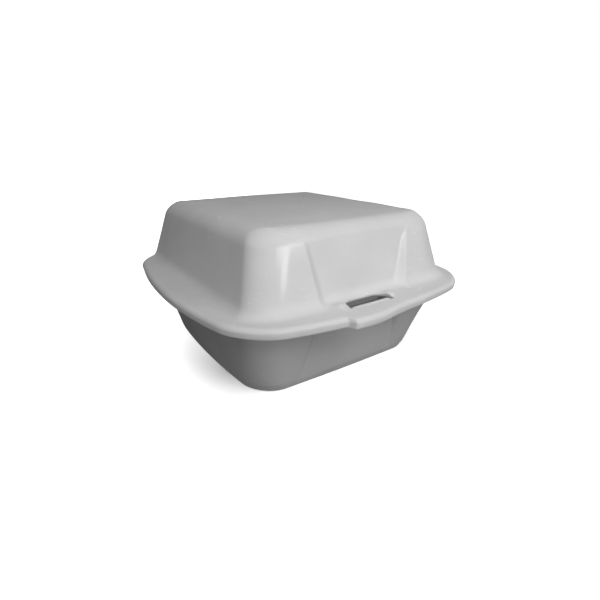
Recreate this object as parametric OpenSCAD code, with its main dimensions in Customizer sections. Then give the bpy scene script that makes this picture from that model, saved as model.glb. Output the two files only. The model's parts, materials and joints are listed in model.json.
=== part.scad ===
// Hinged foam clamshell for one sandwich: a base and a lid formed from one sheet, joined at a crease
// along the back. The front has a stepped-in panel, a latch tab on the base and a slot in the lid.
// X runs along the front from left to right, Y from the front to the hinge, Z up. Millimetres.

/* [Body] */
// Width of the body where its walls meet the flanges
body_w = 124.5; // [90:0.5:200]
// Depth of the body where its walls meet the flanges
body_d = 125; // [90:0.5:200]
// Corner radius of the body where its walls meet the flanges
body_corner = 14; // [6:0.5:30]
// How far the middle of each wall bows out past its ends
wall_bow = 1; // [0:0.1:4]
// Thickness of the foam in the walls, floor and top
wall = 2.4; // [1.5:0.1:5]

/* [Base] */
// Height from the table to the parting plane between the flanges
base_h = 39.8; // [20:0.1:80]
// Width of the floor, out to where it would meet the walls unrounded
floor_w = 102.5; // [70:0.5:180]
// Depth of the floor, out to where it would meet the walls unrounded
floor_d = 102.5; // [70:0.5:180]
// Corner radius of the floor seen from above
floor_corner = 15; // [6:0.5:30]
// Radius of the rounding between the floor and the walls
floor_edge = 3.4; // [2.5:0.1:10]

/* [Lid] */
// Height from the parting plane to the top of the lid
lid_h = 36.5; // [20:0.1:80]
// Width of the lid's top, out to where it would meet the walls unrounded
top_w = 108.8; // [70:0.5:180]
// Depth of the lid's top, out to where it would meet the walls unrounded
top_d = 109.2; // [70:0.5:180]
// Corner radius of the lid's top seen from above
top_corner = 15; // [12:0.5:30]
// Radius of the rounding between the lid's top and its walls
top_edge = 10.3; // [3:0.1:16]

/* [Flanges] */
// Width of the lid's flange at the middle of each side
flange_side = 12.75; // [8:0.25:25]
// Width of the lid's flange at the middle of the front, without the thumb lip
flange_front = 15.3; // [14:0.1:30]
// Width of both flanges along the hinge
flange_back = 3.6; // [3:0.1:12]
// Thickness of the lid's flange
lid_flange_t = 2.9; // [1.5:0.1:6]
// Thickness of the base's flange
base_flange_t = 2.2; // [1.5:0.1:6]
// How far the base's flange stops short of the lid's rim at the front and sides
base_inset = 3.5; // [0.5:0.1:7]
// How much rounder the rim's front corners are than the body's
rim_round_front = 4.6; // [0:0.1:15]
// How much rounder the rim's back corners are than the body's
rim_round_back = 6; // [0:0.1:15]
// How far the rim bows out at the middle of each side
rim_bow_side = 9.8; // [0:0.1:10.5]
// How far the rim bows out at the middle of the front
rim_bow_front = 9.6; // [0:0.1:12]
// Radius of the bend between the walls and the flanges, where the flange is wide enough for it
root_r = 5; // [1:0.1:6]
// Radius that rounds the upper edge of the lid's rim
rim_roll = 2; // [0.5:0.1:2.5]

/* [Front panel] */
// How far the panel is set back where it meets the flanges
panel_depth = 3.7; // [1:0.1:7]
// Width of the panel's opening in the wall where it meets the flanges
panel_w = 53.5; // [30:0.5:66]
// Width of the opening at the top of the lid's panel
panel_top_w = 62.5; // [40:0.5:70]
// Width of the opening at the foot of the base's panel
panel_foot_w = 58; // [40:0.5:66]
// Width of the slope down each side of the panel at the flanges
panel_slope = 7.2; // [3:0.1:9]
// Distance from the lid's top down to where its panel runs out
panel_top_gap = 4.4; // [2:0.1:12]
// How far the panel is set back at its upper end, below a soft step
panel_step = 0.8; // [0:0.1:1]
// Distance from the table up to where the base's panel runs out
panel_foot_gap = 4.5; // [2:0.1:12]

/* [Latch] */
// Middle of the latch, left of the middle of the front if negative
latch_x = -4; // [-10:0.5:10]
// Width of the slot in the lid's flange
slot_w = 25; // [14:0.5:36]
// Depth of the slot from front to back
slot_d = 8.6; // [6:0.1:12]
// Radius of the slot's back corners. Its front corners are square
slot_r = 4.2; // [0.5:0.1:8]
// Thickness that the foam is pressed to behind the slot
slot_edge_t = 1.1; // [0.8:0.1:1.4]
// How far back from the slot the foam is pressed thin from below
slot_press = 5; // [1:0.1:6]
// Thickness of the base's tab
tab_t = 2.2; // [1.5:0.1:4]
// How far the tab stands up past the top of the lid's flange
tab_rise = 0.1; // [0:0.1:3]
// Radius of the tab's upper corners
tab_corner = 2.4; // [0.5:0.1:4]
// Clearance between the tab and the slot at the front and at each end
tab_gap = 0.4; // [0.3:0.05:1]
// How far back from the tab its cut-out in the base's flange reaches
cutout_d = 7; // [4:0.1:7.5]
// Reach of the thumb lip on the lid's rim, to the left of the latch's middle
lip_left = 20; // [12:0.5:30]
// Reach of the thumb lip to the right of the latch's middle
lip_right = 19; // [12:0.5:30]
// How far the thumb lip stands out from the rim
lip_out = 3.5; // [0:0.1:6]
// Width of the short step at the lip's left end
lip_step = 2.5; // [1:0.5:6]
// Width over which the lip fades out to the right
lip_fade = 32; // [4:0.5:34]

/* [Hinge] */
// Space between the two flanges when the lid is shut
parting_gap = 0.3; // [0.1:0.05:1]
// Space between the two flanges' back edges when the lid lies open
hinge_gap = 0.2; // [0.1:0.05:1]

/* [Hidden] */
corner_steps = 7;
side_points = 6;
shoulder_points = 2;
back_points = 3;
slope_steps = 4;
front_points = 3;
wall_steps = 4;
edge_steps = 6;
root_steps = 4;
roll_steps = 3;
// Most that a bend takes of its flange's width, and the rim's rounding of its thickness
root_room = 0.5;
roll_room = 0.75;
// Width of the panel's slopes at its far end, and the height over which its upper step comes in
slope_min = 2.5;
step_rise = 8;
overcut = 5;
foam = [0.86, 0.87, 0.86];
foam_base = [0.80, 0.81, 0.81];

part_z = base_h;
lid_under_z = part_z + parting_gap / 2;
lid_flange_z = lid_under_z + lid_flange_t;
lid_top_z = part_z + lid_h;
base_rim_z = part_z - parting_gap / 2;
base_under_z = base_rim_z - base_flange_t;
lid_panel_end_z = lid_top_z - panel_top_gap;
rim_round = min(rim_roll, roll_room * lid_flange_t);
hinge_y = body_d / 2 + flange_back;
slot_back_y = -body_d / 2;
slot_front_y = slot_back_y - slot_d;
tab_w = slot_w - 2 * tab_gap;
tab_back_y = slot_front_y + tab_gap + tab_t;
tab_top_z = lid_flange_z + tab_rise;

// An outline seen from above: half width, reach to the front, reach to the back, front and back corner
// radius, then the bow of the sides, of the front and of the back
body_line = wall_outline(body_w, body_d, body_corner);
floor_line = wall_outline(floor_w, floor_d, floor_corner);
top_line = wall_outline(top_w, top_d, top_corner);
rim_line = outline(
    body_w / 2 + flange_side,
    body_d / 2 + flange_front,
    hinge_y - hinge_gap / 2,
    body_corner + rim_round_front,
    body_corner + rim_round_back,
    rim_bow_side,
    rim_bow_front,
    0
);
base_rim_line = rim_line - base_inset * [1, 1, 0, 1, 0, 0, 0, 0];

function outline(half, front, back, front_r, back_r, side_bow, front_bow, back_bow) =
    [half, front, back, front_r, back_r, side_bow, front_bow, back_bow];

function wall_outline(w, d, corner) =
    outline(w / 2, d / 2, d / 2, corner, corner, wall_bow, wall_bow, wall_bow);

function grow(line, by) = line + by * [1, 1, 1, 1, 1, 0, 0, 0];

function mix(a, b, t) = a + (b - a) * t;

function ease(t) = t * t * (3 - 2 * t);

function between(a, b, count) = [for (i = [1:count]) mix(a, b, i / (count + 1))];

function arc(centre, r, from) =
    [for (i = [0:corner_steps]) let (a = from + 90 * i / corner_steps) centre + r * [cos(a), sin(a)]];

// Bends the straight sides of an outline outward, most at their middle
function bowed(p, line) =
    let (
        depth = (line[1] + line[2]) / 2,
        middle = (line[2] - line[1]) / 2,
        u = p[0] / line[0],
        v = p[1] / depth,
        bow = p[1] < 0 ? line[6] : line[7]
    )
    [p[0] * (1 - line[5] / line[0] * v * v), middle + p[1] * (1 - bow / depth * u * u)];

// Where the points of the front lie between the ends of a relief: along one slope, across, along the other
function front_x(ends, slopes) =
    let (left = ends[0] + slopes[0], right = ends[1] - slopes[1])
    concat(
        [for (i = [0:slope_steps]) mix(ends[0], left, i / slope_steps)],
        between(left, right, front_points),
        [for (i = [slope_steps:-1:0]) mix(ends[1], right, i / slope_steps)]
    );

front_share = concat(
    [for (i = [0:slope_steps]) ease(i / slope_steps)],
    [for (i = [1:front_points]) 1],
    [for (i = [slope_steps:-1:0]) ease(i / slope_steps)]
);

// One ring of points at height z. The front is pushed back by push between two ends, over a slope at each
function ring(line, z, ends, slopes, push) =
    let (
        half = line[0],
        depth = (line[1] + line[2]) / 2,
        front_r = line[3],
        back_r = line[4],
        squeeze = 1 - line[5] / half,
        xs = front_x(ends, slopes),
        last_x = xs[len(xs) - 1]
    )
    concat(
        flat_ring(arc([half - back_r, depth - back_r], back_r, 0), line, z),
        flat_ring(between([half - back_r, depth], [back_r - half, depth], back_points), line, z),
        flat_ring(arc([back_r - half, depth - back_r], back_r, 90), line, z),
        flat_ring(between([-half, depth - back_r], [-half, front_r - depth], side_points), line, z),
        flat_ring(arc([front_r - half, front_r - depth], front_r, 180), line, z),
        flat_ring(between([front_r - half, -depth], [xs[0] / squeeze, -depth], shoulder_points), line, z),
        [
            for (i = [0:len(xs) - 1])
                let (p = bowed([xs[i] / squeeze, -depth], line)) [p[0], p[1] + push * front_share[i], z]
        ],
        flat_ring(between([last_x / squeeze, -depth], [half - front_r, -depth], shoulder_points), line, z),
        flat_ring(arc([half - front_r, front_r - depth], front_r, 270), line, z),
        flat_ring(between([half, front_r - depth], [half, depth - back_r], side_points), line, z)
    );

function flat_ring(points, line, z) = [for (p = points) let (q = bowed(p, line)) [q[0], q[1], z]];

// A ring on a wall, with the front panel as it is at that height: share is 1 at the flanges, 0 at its far end
function wall_ring(line, z, share, far_w, push) =
    let (w = mix(far_w, panel_w, share), slope = mix(slope_min, panel_slope, share))
    ring(line, z, [-w / 2, w / 2], [slope, slope], push);

// A ring on the rim of the lid, with the thumb lip at the latch
function lip_ring(line, z) =
    ring(line, z, [latch_x - lip_left, latch_x + lip_right], [lip_step, lip_fade], -lip_out);

// A ring on the rim of the base, which has no lip
function plain_ring(line, z) = ring(line, z, [-panel_w / 2, panel_w / 2], [panel_slope, panel_slope], 0);

// The bend from a wall into a flange: s is 0 on the wall and 1 on the flange. low is the wall's ring in the
// flange's face, high its ring one radius away from there, and rim the flange's edge
function root_ring(low, high, rim, s) =
    [
        for (i = [0:len(low) - 1])
            let (
                out = [rim[i][0] - low[i][0], rim[i][1] - low[i][1], 0],
                reach = min(root_r, root_room * norm(out)),
                head = mix(low[i], high[i], reach / root_r),
                foot = low[i] + out * reach / norm(out)
            )
            mix(mix(head, low[i], s), mix(low[i], foot, s), s)
    ];

function clamp(t) = min(1, max(0, t));

// The lid's panel: how much of its width and slope a height has, and how far it is pushed back there
function lid_share(z) = clamp((lid_panel_end_z - z) / (lid_panel_end_z - lid_flange_z));

function lid_push(z) =
    panel_step * clamp((lid_panel_end_z - z) / step_rise) + (panel_depth - panel_step) * lid_share(z);

function lid_line(z) = mix(body_line, top_line, (z - lid_flange_z) / (lid_top_z - lid_flange_z));

lid_draft = atan((body_w - top_w) / 2 / (lid_top_z - lid_flange_z));

// The rounding at the top of the lid, from the flat down to the wall. by is the offset from the outside
function lid_edge(by, turn) =
    let (
        r = top_edge + by,
        z = lid_top_z + by - r * (1 - cos(turn)),
        in = top_edge * tan((90 - lid_draft) / 2)
    )
    wall_ring(grow(top_line, r * sin(turn) - in), z, lid_share(z), panel_top_w, lid_push(z));

function lid_wall(by, z) = wall_ring(grow(lid_line(z), by), z, lid_share(z), panel_top_w, lid_push(z));

lid_edge_foot_z = lid_top_z - top_edge * (1 - sin(lid_draft));
lid_wall_foot_z = lid_flange_z + root_r;

function lid_root(by, z, s) = root_ring(lid_wall(by, z), lid_wall(by, z + root_r), lip_ring(rim_line, z), s);

// The lid from the middle of its top, down the outside, round the rim and up the inside
lid_rings = concat(
    [for (i = [0:edge_steps]) lid_edge(0, (90 - lid_draft) * i / edge_steps)],
    [for (i = [1:wall_steps]) lid_wall(0, mix(lid_edge_foot_z, lid_wall_foot_z, i / wall_steps))],
    [for (i = [1:root_steps]) lid_root(0, lid_flange_z, i / root_steps)],
    [
        for (i = [0:roll_steps])
            let (a = 90 * i / roll_steps)
                lip_ring(grow(rim_line, rim_round * (sin(a) - 1)), lid_flange_z - rim_round * (1 - cos(a)))
    ],
    [lip_ring(rim_line, lid_under_z)],
    [for (i = [root_steps:-1:1]) lid_root(-wall, lid_under_z, i / root_steps)],
    [for (i = [wall_steps:-1:0]) lid_wall(-wall, mix(lid_edge_foot_z, lid_wall_foot_z, i / wall_steps))],
    [for (i = [edge_steps - 1:-1:0]) lid_edge(-wall, (90 - lid_draft) * i / edge_steps)]
);

function base_share(z) = clamp((z - panel_foot_gap) / (base_under_z - panel_foot_gap));

function base_line(z) = mix(floor_line, body_line, z / base_under_z);

base_draft = atan((body_w - floor_w) / 2 / base_under_z);

// The rounding at the foot of the base, from the flat floor up to the wall
function base_edge(by, turn) =
    let (
        r = floor_edge + by,
        z = r * (1 - cos(turn)) - by,
        in = floor_edge * tan((90 - base_draft) / 2),
        share = base_share(z)
    )
    wall_ring(grow(floor_line, r * sin(turn) - in), z, share, panel_foot_w, panel_depth * share);

base_edge_top_z = floor_edge * (1 - sin(base_draft));
base_wall_top_z = base_under_z - root_r;

function base_wall(by, z) =
    let (share = base_share(z))
    wall_ring(grow(base_line(z), by), z, share, panel_foot_w, panel_depth * share);

function base_root(by, z, s) =
    root_ring(base_wall(by, z), base_wall(by, z - root_r), plain_ring(base_rim_line, z), s);

// The base from the middle of its floor, up the inside, round the rim and down the outside
base_rings = concat(
    [for (i = [0:edge_steps]) base_edge(-wall, (90 - base_draft) * i / edge_steps)],
    [for (i = [1:wall_steps]) base_wall(-wall, mix(base_edge_top_z, base_wall_top_z, i / wall_steps))],
    [for (i = [1:root_steps]) base_root(-wall, base_rim_z, i / root_steps)],
    [plain_ring(base_rim_line, base_rim_z), plain_ring(base_rim_line, base_under_z)],
    [for (i = [root_steps:-1:1]) base_root(0, base_under_z, i / root_steps)],
    [for (i = [wall_steps:-1:0]) base_wall(0, mix(base_edge_top_z, base_wall_top_z, i / wall_steps))],
    [for (i = [edge_steps - 1:-1:0]) base_edge(0, (90 - base_draft) * i / edge_steps)]
);

// A closed shell over a list of rings, with a flat cap on the first and the last
module skin(rings) {
    count = len(rings[0]);
    last = (len(rings) - 1) * count;
    polyhedron(
        points = [for (r = rings) each r],
        faces = concat(
            [[for (i = [count - 1:-1:0]) i]],
            [
                for (k = [0:len(rings) - 2], i = [0:count - 1])
                    let (j = (i + 1) % count, a = k * count, b = a + count)
                        each [[a + i, a + j, b + j], [a + i, b + j, b + i]]
            ],
            [[for (i = [0:count - 1]) last + i]]
        )
    );
}

// A slot with a straight front edge and rounded back corners
module slot_shape(w, d, r) {
    translate([-w / 2, -d / 2])
        square([w, d - r]);
    translate([r - w / 2, -d / 2])
        square([w - 2 * r, d]);
    for (x = [-1, 1])
        translate([x * (w / 2 - r), d / 2 - r])
            circle(r = r, $fn = 48);
}

// The slot through the lid's flange, with its back edge in line with the wall on each side of the panel
module latch_slot() {
    translate([latch_x, (slot_front_y + slot_back_y) / 2, lid_under_z - overcut])
        linear_extrude(height = lid_flange_t + 2 * overcut)
            slot_shape(slot_w, slot_d, slot_r);
}

// The underside of the foam behind the slot, pressed away to leave a thin edge that opens to the inside
module slot_pressing() {
    tall = lid_flange_t - slot_edge_t + overcut;
    translate([latch_x, slot_back_y + slot_press / 2 - slot_r / 2, lid_under_z - overcut + tall / 2])
        cube([slot_w - 2 * slot_r, slot_press + slot_r, tall], center = true);
}

// The hole in the base's flange behind the tab, where the tongue of foam was cut free
module tab_cutout() {
    deep = cutout_d + tab_t / 2;
    translate([latch_x, tab_back_y + cutout_d - deep / 2, base_under_z - overcut])
        linear_extrude(height = base_flange_t + 2 * overcut)
            slot_shape(tab_w - 2 * tab_corner, deep, min(slot_r, cutout_d / 2));
}

// The tab that stands up from the base's flange and comes through the slot
module latch_tab() {
    tall = tab_top_z - base_under_z;
    translate([latch_x, tab_back_y, base_under_z])
        rotate([90, 0, 0])
            linear_extrude(height = tab_t) {
                translate([-tab_w / 2, 0])
                    square([tab_w, tall - tab_corner]);
                translate([tab_corner - tab_w / 2, 0])
                    square([tab_w - 2 * tab_corner, tall]);
                for (x = [-1, 1])
                    translate([x * (tab_w / 2 - tab_corner), tall - tab_corner])
                        circle(r = tab_corner, $fn = 48);
            }
}

module base() {
    color(foam_base) {
        difference() {
            skin(base_rings);
            tab_cutout();
        }
        latch_tab();
    }
}

module lid() {
    color(foam)
        difference() {
            skin(lid_rings);
            latch_slot();
            slot_pressing();
        }
}

base();
lid();
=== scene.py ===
import json
import math

import bpy
import numpy as np
from mathutils import Matrix, Vector, noise


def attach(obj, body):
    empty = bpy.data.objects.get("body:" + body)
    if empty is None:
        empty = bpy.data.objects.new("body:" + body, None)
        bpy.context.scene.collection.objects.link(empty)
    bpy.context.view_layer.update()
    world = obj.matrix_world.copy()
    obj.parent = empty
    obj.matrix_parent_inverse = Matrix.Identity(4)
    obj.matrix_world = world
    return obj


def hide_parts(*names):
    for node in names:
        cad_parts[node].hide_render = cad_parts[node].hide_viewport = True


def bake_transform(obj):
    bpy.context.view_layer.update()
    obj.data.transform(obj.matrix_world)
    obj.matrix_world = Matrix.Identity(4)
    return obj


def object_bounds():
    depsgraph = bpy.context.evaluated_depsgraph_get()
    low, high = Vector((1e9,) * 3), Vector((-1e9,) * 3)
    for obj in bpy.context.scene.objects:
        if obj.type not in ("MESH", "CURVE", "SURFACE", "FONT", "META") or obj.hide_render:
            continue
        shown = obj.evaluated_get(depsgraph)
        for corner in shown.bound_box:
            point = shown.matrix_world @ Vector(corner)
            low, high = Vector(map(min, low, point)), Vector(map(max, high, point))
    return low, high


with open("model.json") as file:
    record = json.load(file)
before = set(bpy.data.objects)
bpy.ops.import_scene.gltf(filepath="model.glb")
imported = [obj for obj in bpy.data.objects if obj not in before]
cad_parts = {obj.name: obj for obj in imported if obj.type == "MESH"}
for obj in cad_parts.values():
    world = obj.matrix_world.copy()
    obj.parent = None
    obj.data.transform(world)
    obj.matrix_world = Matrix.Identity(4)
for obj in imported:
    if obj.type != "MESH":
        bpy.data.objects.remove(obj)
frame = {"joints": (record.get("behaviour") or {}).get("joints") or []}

cad_low, cad_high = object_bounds()

# The sheet: the whole container is one sheet of white polystyrene foam, pressed hot between two moulds.
# Closed cells about a millimetre across just show through its skin, the tone drifts where the sheet was
# stretched, and short marks of the mould catch the light.

MM = 0.001
clouds_per_metre, grain_per_metre = 60, 1600
strokes_per_metre, stroke_squash, patches_per_metre = 240, 4, 38
skin_dark, skin_light, skin_cells, skin_bump = 0.655, 0.705, 1000, 0.3
cut_dark, cut_light, cut_cells, cut_bump = 0.52, 0.68, 800, 0.9
# The last of these is how strongly the inner skin glows with painted light.
mark_lift, cell_depth, painted_inner_glow = 1.06, 0.2, 0.05
foam_cells = bpy.data.node_groups.new("foam_cells", "ShaderNodeTree")
for socket, way in (
    ("Cells per Metre", "INPUT"),
    ("Tone", "OUTPUT"),
    ("Marks", "OUTPUT"),
    ("Height", "OUTPUT"),
    ("Roughness", "OUTPUT"),
):
    foam_cells.interface.new_socket(socket, in_out=way, socket_type="NodeSocketFloat")


def add_node(tree, kind, place, **settings):
    node = tree.nodes.new(kind)
    node.location = place
    for key, value in settings.items():
        setattr(node, key, value)
    return node


def ranged(tree, source, given, wanted, place):
    """Brings a value from one range into another, and holds it there."""
    node = add_node(tree, "ShaderNodeMapRange", place)
    for name, value in zip(("From Min", "From Max", "To Min", "To Max"), (*given, *wanted)):
        node.inputs[name].default_value = value
    tree.links.new(source, node.inputs["Value"])
    return node.outputs["Result"]


def joined(tree, operation, first, second, place):
    node = add_node(tree, "ShaderNodeMath", place, operation=operation)
    tree.links.new(first, node.inputs[0])
    tree.links.new(second, node.inputs[1])
    return node.outputs[0]


def noise_texture(tree, source, scale, detail, place):
    texture = add_node(tree, "ShaderNodeTexNoise", place)
    texture.inputs["Scale"].default_value = scale
    texture.inputs["Detail"].default_value = detail
    tree.links.new(source, texture.inputs["Vector"])
    return texture.outputs["Fac"]


entry = add_node(foam_cells, "NodeGroupInput", (-1100, 300))
result = add_node(foam_cells, "NodeGroupOutput", (500, 0))
spot = add_node(foam_cells, "ShaderNodeTexCoord", (-1100, 0)).outputs["Object"]
cells = add_node(foam_cells, "ShaderNodeTexVoronoi", (-800, 300), feature="SMOOTH_F1")
cells.inputs["Smoothness"].default_value = 0.4
foam_cells.links.new(spot, cells.inputs["Vector"])
foam_cells.links.new(entry.outputs["Cells per Metre"], cells.inputs["Scale"])
from_cell = cells.outputs["Distance"]
clouds = noise_texture(foam_cells, spot, clouds_per_metre, 4, (-800, 0))
grain = noise_texture(foam_cells, spot, grain_per_metre, 2, (-800, -250))
squashed = add_node(foam_cells, "ShaderNodeMapping", (-1000, -500))
squashed.inputs["Scale"].default_value = (1, 1, stroke_squash)
foam_cells.links.new(spot, squashed.inputs["Vector"])
strokes = noise_texture(foam_cells, squashed.outputs["Vector"], strokes_per_metre, 1, (-800, -500))
patches = noise_texture(foam_cells, spot, patches_per_metre, 1, (-800, -750))
cell_tone = ranged(foam_cells, from_cell, (0, 1), (-0.14, 0.14), (-550, 300))
cloud_tone = ranged(foam_cells, clouds, (0.3, 0.7), (0.1, 0.9), (-550, 50))
pressed = ranged(foam_cells, strokes, (0.66, 0.74), (0, 1), (-550, -500))
gathered = ranged(foam_cells, patches, (0.45, 0.6), (0.1, 1), (-550, -750))
cell_height = ranged(foam_cells, from_cell, (0, 1), (0, 0.7), (-550, 550))
grain_height = ranged(foam_cells, grain, (0, 1), (0, 0.3), (-550, -200))
for name, value in (
    ("Tone", joined(foam_cells, "ADD", cloud_tone, cell_tone, (-300, 150))),
    ("Marks", joined(foam_cells, "MULTIPLY", pressed, gathered, (-300, -600))),
    ("Height", joined(foam_cells, "ADD", cell_height, grain_height, (-300, 400))),
    ("Roughness", ranged(foam_cells, grain, (0.3, 0.7), (0.38, 0.56), (-300, -200))),
):
    foam_cells.links.new(value, result.inputs[name])


def foam(name, dark, light, cells_per_metre, bump):
    """Foam between two close greys, its cells a fine bump and its mould marks a little paler."""
    material = bpy.data.materials.new(name)
    material.use_nodes = True
    tree = material.node_tree
    shader = tree.nodes["Principled BSDF"]
    shader.inputs["Specular IOR Level"].default_value = 0
    group = add_node(tree, "ShaderNodeGroup", (-900, 0), node_tree=foam_cells)
    group.inputs["Cells per Metre"].default_value = cells_per_metre
    shades = add_node(tree, "ShaderNodeValToRGB", (-650, 200))
    shades.color_ramp.elements[0].color = (dark, dark, dark, 1)
    shades.color_ramp.elements[1].color = (light, light, light, 1)
    paler = add_node(tree, "ShaderNodeMix", (-300, 200), data_type="RGBA")
    paler.inputs["B"].default_value = (light * mark_lift, light * mark_lift, light * mark_lift, 1)
    relief = add_node(tree, "ShaderNodeBump", (-300, -250))
    relief.inputs["Strength"].default_value = bump
    relief.inputs["Distance"].default_value = cell_depth * MM
    tree.links.new(group.outputs["Tone"], shades.inputs["Fac"])
    tree.links.new(group.outputs["Marks"], paler.inputs["Factor"])
    tree.links.new(shades.outputs["Color"], paler.inputs["A"])
    tree.links.new(paler.outputs["Result"], shader.inputs["Base Color"])
    tree.links.new(group.outputs["Roughness"], shader.inputs["Roughness"])
    tree.links.new(group.outputs["Height"], relief.inputs["Height"])
    tree.links.new(relief.outputs["Normal"], shader.inputs["Normal"])
    return material


skin_foam = foam("foam_skin", skin_dark, skin_light, skin_cells, skin_bump)
cut_foam = foam("foam_cut_edge", cut_dark, cut_light, cut_cells, cut_bump)

# The inner skin glows a little. This is a painted glow, an emission that stands in for daylight coming
# through the thin sheet, so the inside is never quite dark.
glowing_inner_foam = foam("foam_inner_painted_glow", skin_dark, skin_light, skin_cells, skin_bump)
inner_shader = glowing_inner_foam.node_tree.nodes["Principled BSDF"]
inner_shader.inputs["Emission Color"].default_value = (1, 1, 1, 1)
inner_shader.inputs["Emission Strength"].default_value = painted_inner_glow

# The base: a tapered tray with a flat floor and a flange round its mouth, formed hot from one sheet of
# white polystyrene foam about 2.4 mm thick. Its front steps in as a panel below the latch.

hinge = Vector(frame["joints"][0]["pos_m"])
hinge_y, parting_z = hinge.y / MM, hinge.z / MM

# The walls, at their mouth and at the floor. Sizes are in millimetres, and a bow is how far a side bulges.
wall, wall_bow = 2.4, 1.0
body_w, body_d = 120.5, 125.0
body_corner, body_back_corner, corner_stretch = 9.5, 6.5, 1.6
floor_w, floor_d, floor_bow = 105.0, 102.5, 3.2
floor_corner, floor_edge = 15.0, 3.4

# The flanges, the lid's wider than the base's, and the bend at their root.
flange_side, flange_front, base_inset = 14.75, 15.3, 3.5
base_flange_t, base_cut_round = 2.2, 0.9
rim_corner_front, rim_corner_back = 18.6, 20.0
rim_bow_side, rim_bow_front = 9.8, 9.6
root_r, root_room = 5.0, 0.5
parting_gap, hinge_gap = 0.3, 0.2
base_rim_z = parting_z - parting_gap / 2
base_under_z = base_rim_z - base_flange_t

# The front panel: narrow and deep at the flange, wider and level with the wall at its foot.
panel_w, panel_foot_w, panel_foot_gap = 53.5, 63.0, 4.5
panel_depth, panel_slope_end = 3.7, 2.5
base_panel_slope, base_panel_bends, base_panel_crease = 4.5, (0.2, 0.2), 0.3


def outline(half, front, back, front_r, back_r, side_bow, front_bow, back_bow, stretch):
    """A rounded rectangle seen from above, with how far its sides, front and back bow out.
    Its front corners are longer along the front by stretch."""
    return np.array([half, front, back, front_r, back_r, side_bow, front_bow, back_bow, stretch], float)


def wall_outline(w, d, front_r, back_r, side_bow, stretch):
    return outline(w / 2, d / 2, d / 2, front_r, back_r, side_bow, wall_bow, wall_bow, stretch)


def grown(line, by):
    """The same outline, offset outward: its extents and its corners grow, its bows stay."""
    return line + by * np.array([1, 1, 1, 1, 1, 0, 0, 0, 0])


def mix(a, b, t):
    return a + (b - a) * t


def ramp(t, foot, head):
    """A slope from 0 to 1, straight but for a bend of length foot at its start and head at its end."""
    t = np.clip(t, 0, 1)
    rise = 2 / (2 - foot - head)
    start = rise * t**2 / (2 * foot)
    end = 1 - rise * (1 - t) ** 2 / (2 * head)
    return np.where(t < foot, start, np.where(t > 1 - head, end, rise * (t - foot / 2)))


def bowed(points, line):
    """Bends the straight sides of an outline outward, most at their middle."""
    half, front, back, _, _, side_bow, front_bow, back_bow, _ = line
    depth, middle = (front + back) / 2, (back - front) / 2
    x, y = points.T
    end_bow = np.where(y < 0, front_bow, back_bow)
    bent_x = x * (1 - side_bow / half * (y / depth) ** 2)
    bent_y = middle + y * (1 - end_bow / depth * (x / half) ** 2)
    return np.c_[bent_x, bent_y]


def between(a, b, count):
    t = np.arange(1, count + 1)[:, None] / (count + 1)
    return mix(np.array(a, float), np.array(b, float), t)


# How many steps the stretches of a loop have: along its front, and then round the rest.
slope_steps, panel_steps, wing_steps = 16, 30, 14
corner_steps, side_steps, back_steps = 24, 36, 30


def corner(cx, cy, rx, ry, start):
    a = np.radians(start + 90 * np.arange(corner_steps + 1) / corner_steps)
    return np.c_[cx + rx * np.cos(a), cy + ry * np.sin(a)]


def ring(line, z, panel_half, slope_w, push, bends, crease):
    """One loop of points at height z. Its front is pushed back as a panel, over a slope at each end, with
    a crease along the inner edge of the slope."""
    half, front, back, front_r, back_r, side_bow, _, _, stretch = line
    depth = (front + back) / 2
    front_rx = front_r * stretch
    t = np.arange(slope_steps + 1) / slope_steps
    across = np.arange(1, panel_steps) / panel_steps
    left = slope_w * t - panel_half
    xs = np.concatenate([left, mix(left[-1], -left[-1], across), -left[::-1]])
    slope = ramp(t, *bends) + crease * np.sin(math.pi * np.clip(2 * t - 1, 0, 1)) ** 2
    share = np.concatenate([slope, np.ones(len(across)), slope[::-1]])
    panel = np.c_[xs / (1 - side_bow / half), np.full(len(xs), -depth)]
    sides = [
        corner(half - back_r, depth - back_r, back_r, back_r, 0),
        between((half - back_r, depth), (back_r - half, depth), back_steps),
        corner(back_r - half, depth - back_r, back_r, back_r, 90),
        between((-half, depth - back_r), (-half, front_r - depth), side_steps),
        corner(front_rx - half, front_r - depth, front_rx, front_r, 180),
        between((front_rx - half, -depth), panel[0], wing_steps),
        panel,
        between(panel[-1], (half - front_rx, -depth), wing_steps),
        corner(half - front_rx, front_r - depth, front_rx, front_r, 270),
        between((half, front_r - depth), (half, depth - back_r), side_steps),
    ]
    lead = sum(len(s) for s in sides[:6])
    points = bowed(np.vstack(sides), line)
    points[lead:lead + len(xs), 1] += push * share
    return np.c_[points, np.full(len(points), z)]


def panel_ring(line, z, share, far_w, full_slope, bends, crease, push):
    """A loop on a wall with the front panel as it is at that height."""
    w, slope_w = mix(far_w, panel_w, share), mix(panel_slope_end, full_slope, share)
    return ring(line, z, w / 2, slope_w, push, bends, crease)


def root_ring(low, high, rim, s):
    """The bend from a wall, s = 0, into a flange, s = 1, as wide as the flange has room for."""
    out = (rim - low) * np.array([1, 1, 0])
    width = np.linalg.norm(out, axis=1, keepdims=True)
    reach = np.minimum(root_r, root_room * width)
    head, foot = low + (high - low) * reach / root_r, low + out * reach / width
    return mix(mix(head, low, s), mix(low, foot, s), s)


# Shares of the way from the middle of a flat face to its edge.
cap_shares = np.sqrt(np.linspace(0.002, 0.985, 14))


def cap(loop, crown):
    """Loops from the middle of a flat face out to its edge, raised by crown in the middle."""
    middle = loop.mean(0)
    rings = []
    for share in cap_shares:
        points = middle + (loop - middle) * share
        points[:, 2] += crown * (1 - share * share)
        rings.append(points)
    return rings


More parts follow.
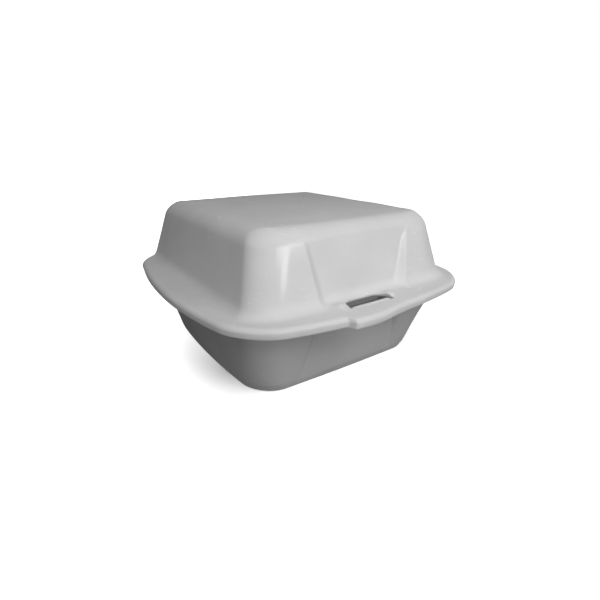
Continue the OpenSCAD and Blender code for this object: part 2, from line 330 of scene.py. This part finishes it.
def sheet_mesh(name, rings, cut_edge=(), inner=()):
    """A closed mesh over a list of loops, with the bands that are die-cut edge or inner skin; the inner
    skin glows with painted light.
    """
    count = len(rings[0])
    faces = []
    for k in range(len(rings) - 1):
        a, b = k * count, (k + 1) * count
        faces += [(a + i, b + i, b + (i + 1) % count, a + (i + 1) % count) for i in range(count)]
    last = (len(rings) - 1) * count
    faces += [tuple(range(count)), tuple(last + i for i in reversed(range(count)))]
    mesh = bpy.data.meshes.new(name)
    mesh.from_pydata([tuple(p * MM) for p in np.vstack(rings)], [], faces)
    for surface in (skin_foam, cut_foam, glowing_inner_foam):
        mesh.materials.append(surface)
    skin, cut, inner_skin = range(3)
    kinds = [inner_skin if k in inner else cut if k in cut_edge else skin for k in range(len(rings) - 1)]
    mesh.polygons.foreach_set("material_index", [*np.repeat(kinds, count), kinds[0], kinds[-1]])
    piece = bpy.data.objects.new(name, mesh)
    bpy.context.scene.collection.objects.link(piece)
    return piece


uneven_by, waves_per_metre = 0.35, 45
flange_calm, flange_fade, floor_calm, floor_fade = 5, 8, 1, 5


def uneven(piece):
    """Slight unevenness of hot-formed foam, fading out at the flanges and at the floor."""
    moved = []
    for v in piece.data.vertices:
        z = v.co.z / MM
        off_flange = min(1, max(0, (abs(z - parting_z) - flange_calm) / flange_fade))
        off_floor = min(1, max(0, (z - floor_calm) / floor_fade))
        wave = noise.noise(v.co * waves_per_metre) * uneven_by * MM
        moved.extend(v.co + v.normal * (wave * off_flange * off_floor))
    piece.data.vertices.foreach_set("co", moved)


body_line = wall_outline(body_w, body_d, body_corner, body_back_corner, wall_bow, corner_stretch)
floor_line = wall_outline(floor_w, floor_d, floor_corner, floor_corner, floor_bow, 1)

# The lid's rim, and the base's, which lies inside it but for the hinge.
rim_line = outline(
    body_w / 2 + flange_side, body_d / 2 + flange_front, hinge_y - hinge_gap / 2,
    rim_corner_front, rim_corner_back, rim_bow_side, rim_bow_front, 0, 1,
)
base_rim_line = rim_line - base_inset * np.array([1, 1, 0, 1, 0, 0, 0, 0, 0])
base_draft = math.atan((body_w - floor_w) / 2 / base_under_z)


def base_ring(line, z, share, push):
    return panel_ring(
        line, z, share, panel_foot_w, base_panel_slope, base_panel_bends, base_panel_crease, push
    )


def base_panel(line, z):
    share = float(np.clip((z - panel_foot_gap) / (base_under_z - panel_foot_gap), 0, 1))
    return base_ring(line, z, share, panel_depth * share)


def base_wall(by, z):
    return base_panel(grown(mix(floor_line, body_line, z / base_under_z), by), z)


def base_edge(by, turn):
    """The rounding from the floor into the wall."""
    r = floor_edge + by
    inward = floor_edge * math.tan((math.pi / 2 - base_draft) / 2)
    return base_panel(grown(floor_line, r * math.sin(turn) - inward), r * (1 - math.cos(turn)) - by)


def base_rim(by, z):
    return base_ring(grown(base_rim_line, by), z, 1, 0)


def base_root(by, z, s):
    return root_ring(base_wall(by, z), base_wall(by, z - root_r), base_rim(0, z), s)


bend_steps = np.linspace(0, 1, 11)[1:]
flange_steps = np.linspace(0, 1, 13)[1:]
edge_turns = np.linspace(0, math.pi / 2 - base_draft, 10)
wall_heights = np.linspace(floor_edge * (1 - math.sin(base_draft)), base_under_z - root_r, 24)[1:]
inside = [base_edge(-wall, t) for t in edge_turns] + [base_wall(-wall, z) for z in wall_heights]
inside += [base_root(-wall, base_rim_z, s) for s in bend_steps]
inside += [mix(inside[-1], base_rim(-base_cut_round, base_rim_z), t) for t in flange_steps]
cut_face = [base_rim(0, base_rim_z - base_cut_round), base_rim(0, base_under_z + base_cut_round)]
outside = [base_edge(0, t) for t in edge_turns] + [base_wall(0, z) for z in wall_heights]
outside += [base_root(0, base_under_z, s) for s in bend_steps]
outside += [mix(outside[-1], base_rim(-base_cut_round, base_under_z), t) for t in flange_steps]
inside, outside = cap(inside[0], 0) + inside, cap(outside[0], 0) + outside
rim_loop = len(inside) - 1
base = sheet_mesh(
    "base_tray", inside + cut_face + outside[::-1],
    cut_edge=range(rim_loop, rim_loop + len(cut_face) + 1), inner=range(rim_loop - len(flange_steps)),
)
uneven(base)

# Behind the tab the flange has a hole, where the tongue of foam was cut free. Its die runs past the sheet.
latch_x = -4.0
slot_w, slot_d, slot_r = 25.0, 8.6, 6.0
tab_t, tab_gap, tab_corner = 2.2, 0.2, 2.4
cutout_d, cutout_r = 7.0, 3.5
die_over, die_under = 3.0, 5.0
slot_back_y = -body_d / 2
slot_front_y = slot_back_y - slot_d
tab_back_y = slot_front_y + tab_gap + tab_t


def slot_loop(w, front, back, r, z):
    """A slot with a straight front edge and rounded back corners, as a loop at height z."""
    a = np.radians(90 * np.arange(13) / 12)
    half = np.vstack([[w / 2, front], np.c_[w / 2 - r + r * np.cos(a), back - r + r * np.sin(a)]])
    loop = np.vstack([half, half[::-1] * np.array([-1, 1])]) + np.array([latch_x, 0])
    return np.c_[loop, np.full(len(loop), z)]


def punched(piece, name, loops):
    """Cuts the prism between two loops out of a piece, and leaves its walls as die-cut foam."""
    die = sheet_mesh(name, loops, cut_edge=(0,))
    stroke = piece.modifiers.new(name, "BOOLEAN")
    stroke.operation, stroke.solver, stroke.object = "DIFFERENCE", "EXACT", die
    bpy.context.view_layer.update()
    mesh = bpy.data.meshes.new_from_object(piece.evaluated_get(bpy.context.evaluated_depsgraph_get()))
    piece.modifiers.clear()
    piece.data = mesh
    bpy.data.objects.remove(die)


cutout_w = slot_w - 2 * tab_gap - 2 * tab_corner
cutout_front_y, cutout_back_y = tab_back_y - tab_t / 2, tab_back_y + cutout_d
punched(base, "tab_cutout", [
    slot_loop(cutout_w, cutout_front_y, cutout_back_y, cutout_r, z)
    for z in (base_rim_z + die_over, base_under_z - die_under)
])

# Behind that hole the rim is pressed down to a thin skin and slopes to the inside.
rim_slope_half, rim_slope_back, rim_slope_skin, rim_slope_drop = 17.0, 7.5, 0.55, 1.8


def profile_loop(x, profile):
    return np.c_[np.full(len(profile), x), np.array(profile)]


rim_slope_z = base_under_z + rim_slope_skin
rim_slope_profile = [
    (tab_back_y, base_rim_z + die_over),
    (tab_back_y, rim_slope_z),
    (cutout_back_y, rim_slope_z),
    (cutout_back_y + rim_slope_back, rim_slope_z - rim_slope_drop),
    (cutout_back_y + rim_slope_back, base_rim_z + die_over),
]
rim_slope_ends = (latch_x + rim_slope_half, latch_x - rim_slope_half)
punched(base, "rim_slope", [profile_loop(x, rim_slope_profile) for x in rim_slope_ends])
crisp_angle = math.radians(50)


def finished(piece, body):
    """Gives a piece of the sheet smooth bends, crisp corners and its body."""
    piece.data.polygons.foreach_set("use_smooth", [True] * len(piece.data.polygons))
    piece.data.set_sharp_from_angle(angle=crisp_angle)
    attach(piece, body)


finished(base, "base")
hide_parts("base")

# The latch tab: a tongue of the base's own foam, formed upright on the front flange. It comes up through
# the slot in the lid and holds it shut.

tab_rise, tab_edge, tab_foot_gap = 0.1, 0.7, 0.05
lid_flange_t = 2.9
lid_under_z = parting_z + parting_gap / 2
lid_flange_z = lid_under_z + lid_flange_t
tab_top = lid_flange_z + tab_rise
tab_y = tab_back_y - tab_t / 2
tab_arc = np.linspace(0, 90, 7)


def rounding(r, down):
    """How far a rounded edge of radius r is in from its side, that far down from its top."""
    return r - math.sqrt(r**2 - max(0, r - down) ** 2)


def tab_ring(down):
    """A rounded slab section, narrower where the tab's upper corners and top edge round off."""
    half = slot_w / 2 - 2 * tab_gap - rounding(tab_corner, down)
    thick = tab_t / 2 - rounding(tab_edge, down)
    r = min(tab_edge, thick)
    loop = []
    for sx, sy, start in ((1, 1, 0), (-1, 1, 90), (-1, -1, 180), (1, -1, 270)):
        a = np.radians(start + tab_arc)
        px = latch_x + sx * (half - r) + r * np.cos(a)
        py = tab_y + sy * (thick - r) + r * np.sin(a)
        loop.append(np.c_[px, py, np.full(len(a), tab_top - down)])
    return np.vstack(loop)


tab_tall = tab_top - base_under_z - tab_foot_gap
tab = sheet_mesh("latch_tab", [tab_ring(d) for d in tab_tall * np.linspace(0, 1, 17) ** 2])
finished(tab, "base")

# The lid: a tapered cover with a softly rounded top, formed in the same sheet as the base. Its front has
# the matching stepped-in panel, and its flange carries a die-cut latch slot and a thumb lip.

lid_top_z = cad_high.z / MM
top_w, top_d, top_crown = 104.8, 109.2, 0.4
top_corner, top_back_corner, top_edge = 10.0, 7.0, 9.3

# The panel, which starts with a small step below the top.
panel_top_w, panel_top_gap = 62.5, 4.4
panel_step, step_rise = 0.5, 8.0
lid_panel_slope, lid_panel_bends = 7.2, (0.16, 0.5)

# The rim: its thumb lip, the roll of its upper edge and the bead under it.
lip_left, lip_right, lip_step, lip_fade, lip_out = 20.0, 19.0, 2.5, 32.0, 3.5
rim_roll, roll_end, rim_undercut = 2.2, math.radians(80), 0.4
rim_bead, bead_start, bead_stop, bead_fade = 1.2, 0.7, 12.0, 30.0

top_line = wall_outline(top_w, top_d, top_corner, top_back_corner, wall_bow, corner_stretch)
lid_draft = math.atan((body_w - top_w) / 2 / (lid_top_z - lid_flange_z))
lid_full_turn = math.pi / 2 - lid_draft
panel_end_z = lid_top_z - panel_top_gap
corner_radii = slice(3, 5)  # where an outline holds the radii of its front and back corners


def smooth(t):
    """A slope from 0 to 1 that bends all the way."""
    return ramp(t, 0.5, 0.5)


def lid_ring(line, z, share, push):
    return panel_ring(line, z, share, panel_top_w, lid_panel_slope, lid_panel_bends, 0, push)


def lid_panel(line, z):
    share = float(np.clip((panel_end_z - z) / (panel_end_z - lid_flange_z), 0, 1))
    step = float(smooth((panel_end_z - z) / step_rise))
    return lid_ring(line, z, share, panel_step * step + (panel_depth - panel_step) * share)


def lid_line(by, z):
    return grown(mix(body_line, top_line, (z - lid_flange_z) / (lid_top_z - lid_flange_z)), by)


def lid_wall(by, z):
    return lid_panel(lid_line(by, z), z)


def lid_edge(by, turn):
    """The rounding round the top. Its corners change on the way down to those of the wall."""
    r = top_edge + by
    z = lid_top_z + by - r * (1 - math.cos(turn))
    line = grown(top_line, r * math.sin(turn) - top_edge * math.tan(lid_full_turn / 2))
    wall_radii = lid_line(by, z)[corner_radii]
    line[corner_radii] = mix(line[corner_radii], wall_radii, smooth(turn / lid_full_turn))
    return lid_panel(line, z)


def lid_rim(by, z):
    rim = lid_ring(grown(rim_line, by), z, 1, 0)
    x, y = rim[:, 0], rim[:, 1]
    lip = smooth((x - latch_x + lip_left) / lip_step) * smooth((latch_x + lip_right - x) / lip_fade)
    rim[:, 1] -= np.where(y < 0, lip_out * lip, 0)
    return rim


def lid_roll(turn):
    return lid_rim(rim_roll * (math.sin(turn) - 1), lid_flange_z - rim_roll * (1 - math.cos(turn)))


def lid_root(by, z, s):
    return root_ring(lid_wall(by, z), lid_wall(by, z + root_r), lid_rim(0, z), s)


def beaded(loop, t):
    """The underside of the flange, thicker towards the rim, which hangs outside the base, but not at the
    hinge."""
    by_rim = max(0, (t - bead_start) / (1 - bead_start)) ** 2
    off_hinge = smooth((hinge_y - bead_stop - loop[:, 1]) / bead_fade)
    loop[:, 2] -= rim_bead * by_rim * off_hinge
    return loop


lid_turns = np.linspace(0, lid_full_turn, 18)
lid_wall_top = lid_top_z - top_edge * (1 - math.sin(lid_draft))
lid_heights = np.linspace(lid_wall_top, lid_flange_z + root_r, 24)[1:]
outside = [lid_edge(0, t) for t in lid_turns] + [lid_wall(0, z) for z in lid_heights]
outside += [lid_root(0, lid_flange_z, s) for s in bend_steps]
outside += [mix(outside[-1], lid_rim(-rim_roll, lid_flange_z), t) for t in flange_steps]
roll = [lid_roll(t) for t in np.linspace(0, roll_end, 9)[1:]]
inside = [lid_edge(-wall, t) for t in lid_turns] + [lid_wall(-wall, z) for z in lid_heights]
inside += [lid_root(-wall, lid_under_z, s) for s in bend_steps]
inside += [beaded(mix(inside[-1], lid_rim(-rim_undercut, lid_under_z), t), t) for t in flange_steps]
inside, outside = cap(inside[0], top_crown) + inside, cap(outside[0], top_crown) + outside
rim_loop = len(outside) + len(roll) - 1
lid = sheet_mesh(
    "lid_cover", outside + roll + inside[::-1],
    inner=range(rim_loop + 1 + len(flange_steps), rim_loop + len(inside)),
)
uneven(lid)

# The foam stands up in a soft shoulder at each end of the slot, where the tab pulls on it.
shoulder_rise, shoulder_w, shoulder_d = 1.9, 2.2, 2.8
shoulder_x, shoulder_y = slot_w / 2 + 0.8 * shoulder_w, slot_back_y - 0.4 * slot_d
shape = np.array([v.co for v in lid.data.vertices]) / MM
x, y, z = shape.T
off_x, off_y = (abs(x - latch_x) - shoulder_x) / shoulder_w, (y - shoulder_y) / shoulder_d
upper_skin = z > lid_flange_z - 0.5
off_wall = y < slot_back_y + 2
shape[:, 2] += np.where(upper_skin & off_wall, shoulder_rise * np.exp(-(off_x**2) - off_y**2), 0)
lid.data.vertices.foreach_set("co", (shape * MM).astype(np.float32).ravel())

slot_die_over, slot_die_under = 4.0, 2.0
punched(lid, "slot_die", [
    slot_loop(slot_w, slot_front_y, slot_back_y, slot_r, z)
    for z in (lid_flange_z + slot_die_over, lid_under_z - slot_die_under)
])

# Behind the slot the foam is pressed thin from below, up to the slope of the bend, and opens to the inside.
slot_edge_t, press_back, press_rise, press_side = 0.6, 5.0, 0.4, 0.6
press_z = lid_flange_z - slot_edge_t
press_profile = [
    (slot_back_y - slot_r, lid_under_z - slot_die_under),
    (slot_back_y + press_back, lid_under_z - slot_die_under),
    (slot_back_y + press_back, press_z + press_back * press_rise),
    (slot_back_y, press_z),
    (slot_back_y - slot_r, press_z),
]
press_half = slot_w / 2 + press_side
press_ends = (latch_x + press_half, latch_x - press_half)
punched(lid, "slot_press", [profile_loop(x, press_profile) for x in press_ends])

# Where the lid's front was drawn tight up a polished mould, a thin glaze is left on it. It fades towards
# the rim, at the bends and where the wall turns to the right.
glaze_bump, glaze_roughness, glaze_ior = 0.2, 0.18, 1.8
glaze_low, glaze_full = lid_flange_z + 3, lid_flange_z + 24
glazed_foam = foam("foam_glazed", skin_dark, skin_light, skin_cells, glaze_bump)
glazed = glazed_foam.node_tree
glazed_shader = glazed.nodes["Principled BSDF"]
glazed_shader.inputs["Coat Roughness"].default_value = glaze_roughness
glazed_shader.inputs["Coat IOR"].default_value = glaze_ior
on_lid = add_node(glazed, "ShaderNodeTexCoord", (-1300, 600))
facing = add_node(glazed, "ShaderNodeSeparateXYZ", (-1100, 700))
height = add_node(glazed, "ShaderNodeSeparateXYZ", (-1100, 500))
glazed.links.new(on_lid.outputs["Normal"], facing.inputs["Vector"])
glazed.links.new(on_lid.outputs["Object"], height.inputs["Vector"])
forward = ranged(glazed, facing.outputs["Y"], (-0.78, -0.88), (0, 1), (-900, 1100))
steep = ranged(glazed, facing.outputs["Z"], (0.26, 0.42), (1, 0), (-900, 850))
left_turned = ranged(glazed, facing.outputs["X"], (0.05, 0.25), (1, 0), (-900, 600))
above_rim = ranged(glazed, height.outputs["Z"], (glaze_low * MM, glaze_full * MM), (0, 1), (-900, 350))
glaze_clouds = noise_texture(glazed, on_lid.outputs["Object"], clouds_per_metre, 3, (-1100, 1350))
patchy = ranged(glazed, glaze_clouds, (0.3, 0.7), (0.7, 1), (-900, 1350))
glaze = forward
for step, mask in enumerate((steep, left_turned, above_rim, patchy)):
    glaze = joined(glazed, "MULTIPLY", glaze, mask, (-650 + 160 * step, 700))
glazed.links.new(glaze, glazed_shader.inputs["Coat Weight"])
lid.data.materials[0] = glazed_foam
finished(lid, "lid")
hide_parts("lid")

# The hinge crease: the same sheet pressed thin along the back, a folded strip between the two flanges.

crease_half, leaf_reach, leaf_half = 45.0, 2.0, 0.14
fold_out, fold_back, fold_half = 0.12, 0.06, 0.13
half_turn = np.linspace(-math.pi / 2, math.pi / 2, 9)
bend = zip(fold_out * np.cos(half_turn) - fold_back, fold_half * np.sin(half_turn))
fold = [(-leaf_reach, -leaf_half), *bend, (-leaf_reach, leaf_half)]
columns = np.linspace(-crease_half, crease_half, 61)
corners = [(cx * MM, (hinge_y + dy) * MM, (parting_z + dz) * MM) for cx in columns for dy, dz in fold]
count = len(fold)
strips = [
    (i * count + k, (i + 1) * count + k, (i + 1) * count + k + 1, i * count + k + 1)
    for i in range(len(columns) - 1)
    for k in range(count - 1)
]
crease_mesh = bpy.data.meshes.new("hinge_crease")
crease_mesh.from_pydata(corners, [], strips)
crease_mesh.materials.append(skin_foam)
crease_mesh.polygons.foreach_set("use_smooth", [True] * len(strips))
crease = bpy.data.objects.new("hinge_crease", crease_mesh)
bpy.context.scene.collection.objects.link(crease)
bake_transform(crease)

# The table: a plain pale sheet that runs on into a white background. The camera sees it white, with the
# soft shadow of the container, partly cast by the lamps and partly painted into its glow close under the
# sides, and it sends back only a little light.

table_half, table_drop = 4, 0.2
table_pale, table_bounce = 0.9, 0.18
# The painted shadow: how much it dims the table's glow, where the middle of each side's patch lies and how
# far it reaches, in metres.
painted_shadow_depth, painted_shadow_middle, painted_shadow_reach = 0.68, (0.051, -0.02), (0.03, 0.06)
table_corners = [(sx * table_half, sy * table_half, 0) for sx, sy in ((-1, -1), (1, -1), (1, 1), (-1, 1))]
table_mesh = bpy.data.meshes.new("table")
table_mesh.from_pydata(table_corners, [], [(0, 1, 2, 3)])
table = bpy.data.objects.new("table", table_mesh)
bpy.context.scene.collection.objects.link(table)
table.location.z = -table_drop * MM


def background_rays(tree, place):
    """1 for rays that show the background to the camera, straight or by way of gloss or glass."""
    path = add_node(tree, "ShaderNodeLightPath", place)
    seen = path.outputs["Is Camera Ray"]
    for step, kind in enumerate(("Is Glossy Ray", "Is Transmission Ray"), start=1):
        seen = joined(tree, "MAXIMUM", seen, path.outputs[kind], (place[0] + 200 * step, place[1]))
    return seen


table_white = bpy.data.materials.new("table_white")
table_white.use_nodes = True
on_table = table_white.node_tree
on_table.nodes.remove(on_table.nodes["Principled BSDF"])

# A painted shadow: the table's glow is dimmed close under each side of the container, where the shadow's
# core lies.
where = add_node(on_table, "ShaderNodeTexCoord", (-1600, 400))
spread = add_node(on_table, "ShaderNodeSeparateXYZ", (-1400, 400))
either_side = add_node(on_table, "ShaderNodeMath", (-1200, 500), operation="ABSOLUTE")
beside = add_node(on_table, "ShaderNodeCombineXYZ", (-1000, 400))
scaled = add_node(on_table, "ShaderNodeVectorMath", (-800, 400), operation="MULTIPLY_ADD")
scaled.inputs[1].default_value = [1 / r for r in painted_shadow_reach] + [0]
scaled.inputs[2].default_value = [-m / r for m, r in zip(painted_shadow_middle, painted_shadow_reach)] + [0]
far = add_node(on_table, "ShaderNodeVectorMath", (-600, 400), operation="LENGTH")
on_table.links.new(where.outputs["Object"], spread.inputs["Vector"])
on_table.links.new(spread.outputs["X"], either_side.inputs[0])
on_table.links.new(either_side.outputs[0], beside.inputs["X"])
on_table.links.new(spread.outputs["Y"], beside.inputs["Y"])
on_table.links.new(beside.outputs["Vector"], scaled.inputs[0])
on_table.links.new(scaled.outputs["Vector"], far.inputs[0])
shade = ranged(on_table, far.outputs["Value"], (0, 1), (1 - painted_shadow_depth, 1), (-400, 400))

glow = add_node(on_table, "ShaderNodeEmission", (-200, 250))
lit = add_node(on_table, "ShaderNodeBsdfDiffuse", (-400, 100))
lit.inputs["Color"].default_value = (table_pale, table_pale, table_pale, 1)
shown = add_node(on_table, "ShaderNodeAddShader", (-200, 150))
bounce = add_node(on_table, "ShaderNodeBsdfDiffuse", (-400, -100))
bounce.inputs["Color"].default_value = (table_bounce, table_bounce, table_bounce, 1)
table_side = add_node(on_table, "ShaderNodeMixShader", (0, 0))
on_table.links.new(shade, glow.inputs["Strength"])
on_table.links.new(glow.outputs[0], shown.inputs[0])
on_table.links.new(lit.outputs[0], shown.inputs[1])
on_table.links.new(background_rays(on_table, (-900, 0)), table_side.inputs[0])
on_table.links.new(bounce.outputs[0], table_side.inputs[1])
on_table.links.new(shown.outputs[0], table_side.inputs[2])
on_table.links.new(table_side.outputs[0], on_table.nodes["Material Output"].inputs["Surface"])
table_mesh.materials.append(table_white)

# The light: soft boxes all round the container, the strongest high on the left of its front, in a room
# that is white to look at and dim to light by.

room_light = 0.01
world = bpy.data.worlds.new("room")
bpy.context.scene.world = world
world.use_nodes = True
room = world.node_tree
white = room.nodes["Background"]
white.inputs["Color"].default_value = (1, 1, 1, 1)
white.inputs["Strength"].default_value = 1
dim = add_node(room, "ShaderNodeBackground", (-200, -150))
dim.inputs["Color"].default_value = (1, 1, 1, 1)
dim.inputs["Strength"].default_value = room_light
room_side = add_node(room, "ShaderNodeMixShader", (200, 0))
room.links.new(background_rays(room, (-900, 300)), room_side.inputs[0])
room.links.new(dim.outputs[0], room_side.inputs[1])
room.links.new(white.outputs[0], room_side.inputs[2])
room.links.new(room_side.outputs[0], room.nodes["World Output"].inputs["Surface"])


def way_to(azimuth, elevation):
    """The way from the container to a place round it, in degrees. Azimuth 0 is straight in front."""
    a, e = math.radians(azimuth), math.radians(elevation)
    return Vector((math.sin(a) * math.cos(e), -math.cos(a) * math.cos(e), math.sin(e)))


def soft_box(name, azimuth, elevation, distance, size, power):
    """A square area lamp aimed at the middle of the container, in degrees, metres and watts."""
    way = way_to(azimuth, elevation)
    lamp = bpy.data.lights.new(name, "AREA")
    lamp.size = size
    lamp.energy = power
    box = bpy.data.objects.new(name, lamp)
    bpy.context.scene.collection.objects.link(box)
    box.location = Vector((0, 0, hinge.z)) + way * distance
    box.rotation_euler = way.to_track_quat("Z", "Y").to_euler()


soft_box("main_box", -20, 50, 0.9, 0.5, 1.75)
soft_box("left_box", -48, 50, 0.5, 0.3, 0.56)
soft_box("side_box", -45, 8, 0.6, 0.2, 0.31)
soft_box("front_box", 8, 32, 0.28, 0.15, 0.22)
soft_box("low_box", 10, 9, 0.35, 0.07, 0.085)
soft_box("back_box", 170, 6, 0.7, 0.18, 1.6)
soft_box("right_box", 100, 6, 0.7, 0.18, 1.3)

# The camera: close to the container, a little above it and to the left of its front, as the photograph
# was taken. Angles and distances come from fitting the container's outlines to the picture.

camera_azimuth, camera_elevation, camera_tilt = -34.3, 17.27, math.radians(0.45)
camera_distance = 0.2371
picture_px, focal_px = 600, 412.1
axis_px = Vector((289.3, 271.25))
back = way_to(camera_azimuth, camera_elevation)
level = way_to(camera_azimuth + 90, 0)
upright = back.cross(level)
right = level * math.cos(camera_tilt) + upright * math.sin(camera_tilt)
up = upright * math.cos(camera_tilt) - level * math.sin(camera_tilt)
lens = bpy.data.cameras.new("camera")
lens.lens = lens.sensor_width * focal_px / picture_px
lens.shift_x = 0.5 - axis_px.x / picture_px
lens.shift_y = axis_px.y / picture_px - 0.5
lens.clip_start = 0.01
camera = bpy.data.objects.new("camera", lens)
bpy.context.scene.collection.objects.link(camera)
turned = Matrix((right, up, back)).transposed().to_4x4()
middle = Vector((0, 0, cad_high.z / 2))
camera.matrix_world = Matrix.Translation(middle + back * camera_distance) @ turned
bpy.context.scene.camera = camera
bpy.context.scene.view_settings.view_transform = "Standard"
